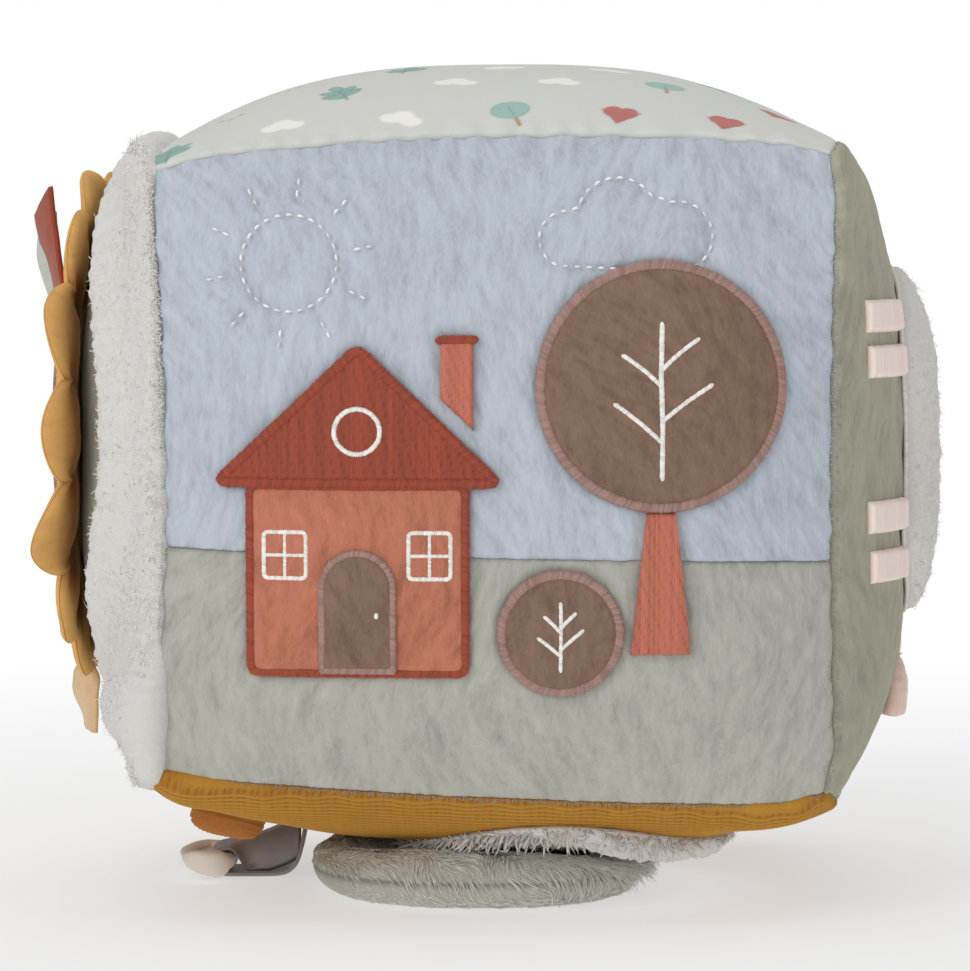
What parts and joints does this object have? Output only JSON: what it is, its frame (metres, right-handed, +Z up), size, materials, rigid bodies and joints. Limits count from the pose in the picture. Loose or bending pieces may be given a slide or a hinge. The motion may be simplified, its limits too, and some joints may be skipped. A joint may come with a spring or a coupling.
{
  "type": "soft fabric activity block",
  "caption": "Soft padded cloth cube with a lift-up flower over a mirror, a raised lamb, stitched cloth pictures, ribbon tags, a ring teether and a rattle inside.",
  "frame": {"origin": "on the flat underside of the stuffed pad that the block stands on, straight below the cube's centre", "axes": "+Z up; the front with the stitched picture faces -Y; +X points to the lamb's side and -X to the flower's side"},
  "size_m": [0.1816, 0.1591, 0.165],
  "materials": {
    "sky_velboa": "matte short pile",
    "meadow_velboa": "matte short pile",
    "sage_velboa": "matte short pile",
    "white_sherpa": "curly pile",
    "printed_cotton": "smooth print",
    "mustard_waffle": "waffle knit",
    "clay_corduroy": "fine corduroy",
    "terracotta_plush": "short plush",
    "rust_satin": "satin stitch",
    "brown_plush": "short plush",
    "mustard_velvet": "velvet",
    "peach_ribbon": "ribbon",
    "sage_ribbon": "ribbon",
    "rust_ribbon": "ribbon",
    "grey_satin_ribbon": "satin ribbon",
    "pink_velvet": "velvet",
    "leg_thread": "satin stitch",
    "wadding": "fibre fill",
    "safety_mirror": "film mirror",
    "crinkle_film": "thin film",
    "capsule_plastic": "moulded",
    "squeaker_plastic": "moulded",
    "bead_plastic": "moulded",
    "teether_silicone": "smooth silicone"
  },
  "bodies": {
    "block": {"front_sky_panel": "sky_velboa", "front_meadow_panel": "meadow_velboa", "top_panel": "printed_cotton", "right_panel": "sage_velboa", "left_panel": "white_sherpa", "bottom_panel": "mustard_waffle", "back_panel": "clay_corduroy", "core_front_half": "wadding", "core_rear_half": "wadding", "rattle_shell_front": "capsule_plastic", "rattle_shell_rear": "capsule_plastic", "house_wall_patch": "terracotta_plush", "house_roof_patch": "rust_satin", "house_chimney_patch": "terracotta_plush", "house_door_patch": "brown_plush", "tree_crown_patch": "brown_plush", "tree_trunk_patch": "terracotta_plush", "bush_patch": "brown_plush", "mirror_ring": "sage_velboa", "mirror": "safety_mirror", "lamb_body_cover": "white_sherpa", "lamb_wadding": "wadding", "squeaker": "squeaker_plastic", "lamb_hind_leg_upper": "leg_thread", "lamb_hind_leg_lower": "leg_thread", "lamb_fore_leg_upper": "leg_thread", "lamb_fore_leg_lower": "leg_thread", "lamb_head": "pink_velvet", "fluffy_patch": "white_sherpa", "pad_bottom_cover": "sage_velboa", "pad_top_cover": "sage_velboa", "pad_wadding": "wadding", "mustard_padded_tab": "mustard_waffle"},
    "flower_flap": {"flower_back_layer": "mustard_velvet", "flower_crinkle_film": "crinkle_film", "flower_wadding": "wadding", "flower_front_layer": "mustard_velvet", "flower_centre": "brown_plush", "flower_pull_tab": "peach_ribbon"},
    "rust_tag": {"rust_ribbon_tag": "rust_ribbon"},
    "sage_tag": {"sage_ribbon_tag": "sage_ribbon"},
    "ear": {"lamb_ear": "pink_velvet"},
    "ribbon": {"grey_ribbon_loop": "grey_satin_ribbon"},
    "teether": {"ring_teether": "teether_silicone"},
    "bead": {"rattle_bead": "bead_plastic"}
  },
  "joints": [
    {"name": "flower_lift", "type": "hinge", "parent": "block", "child": "flower_flap", "pos_m": [-0.0745, 0, 0.1455], "axis": [0, 1, 0], "range_deg": [0, 140]},
    {"name": "rust_tag_bend", "type": "hinge", "parent": "flower_flap", "child": "rust_tag", "pos_m": [-0.0868, -0.029, 0.117], "axis": [0.3, -0.9539, 0], "range_deg": [0, 50], "stiffness_Nm_per_rad": 0.0004},
    {"name": "sage_tag_bend", "type": "hinge", "parent": "flower_flap", "child": "sage_tag", "pos_m": [-0.08842, -0.02951, 0.117], "axis": [0.3, -0.9539, 0], "range_deg": [0, 50], "stiffness_Nm_per_rad": 0.0003},
    {"name": "ear_lift", "type": "hinge", "parent": "block", "child": "ear", "pos_m": [0.08177, -0.0196, 0.04668], "axis": [0, -1, 0], "range_deg": [0, 100]},
    {"name": "ribbon_swivel", "type": "hinge", "parent": "block", "child": "ribbon", "pos_m": [-0.0378, 0.007, 0.0114], "axis": [0, 0, 1], "range_deg": [-15, 15]},
    {"name": "teether_tilt", "type": "hinge", "parent": "ribbon", "child": "teether", "pos_m": [-0.0536, 0.0055, 0.00335], "axis": [0, 1, 0], "range_deg": [0, 22]},
    {"name": "bead_shake", "type": "slide", "parent": "block", "child": "bead", "axis": [0, 0, 1], "range_m": [0, 0.016]}
  ],
  "couplings": [
    {"joint": "sage_tag_bend", "follows": "rust_tag_bend", "ratio": 1}
  ]
}
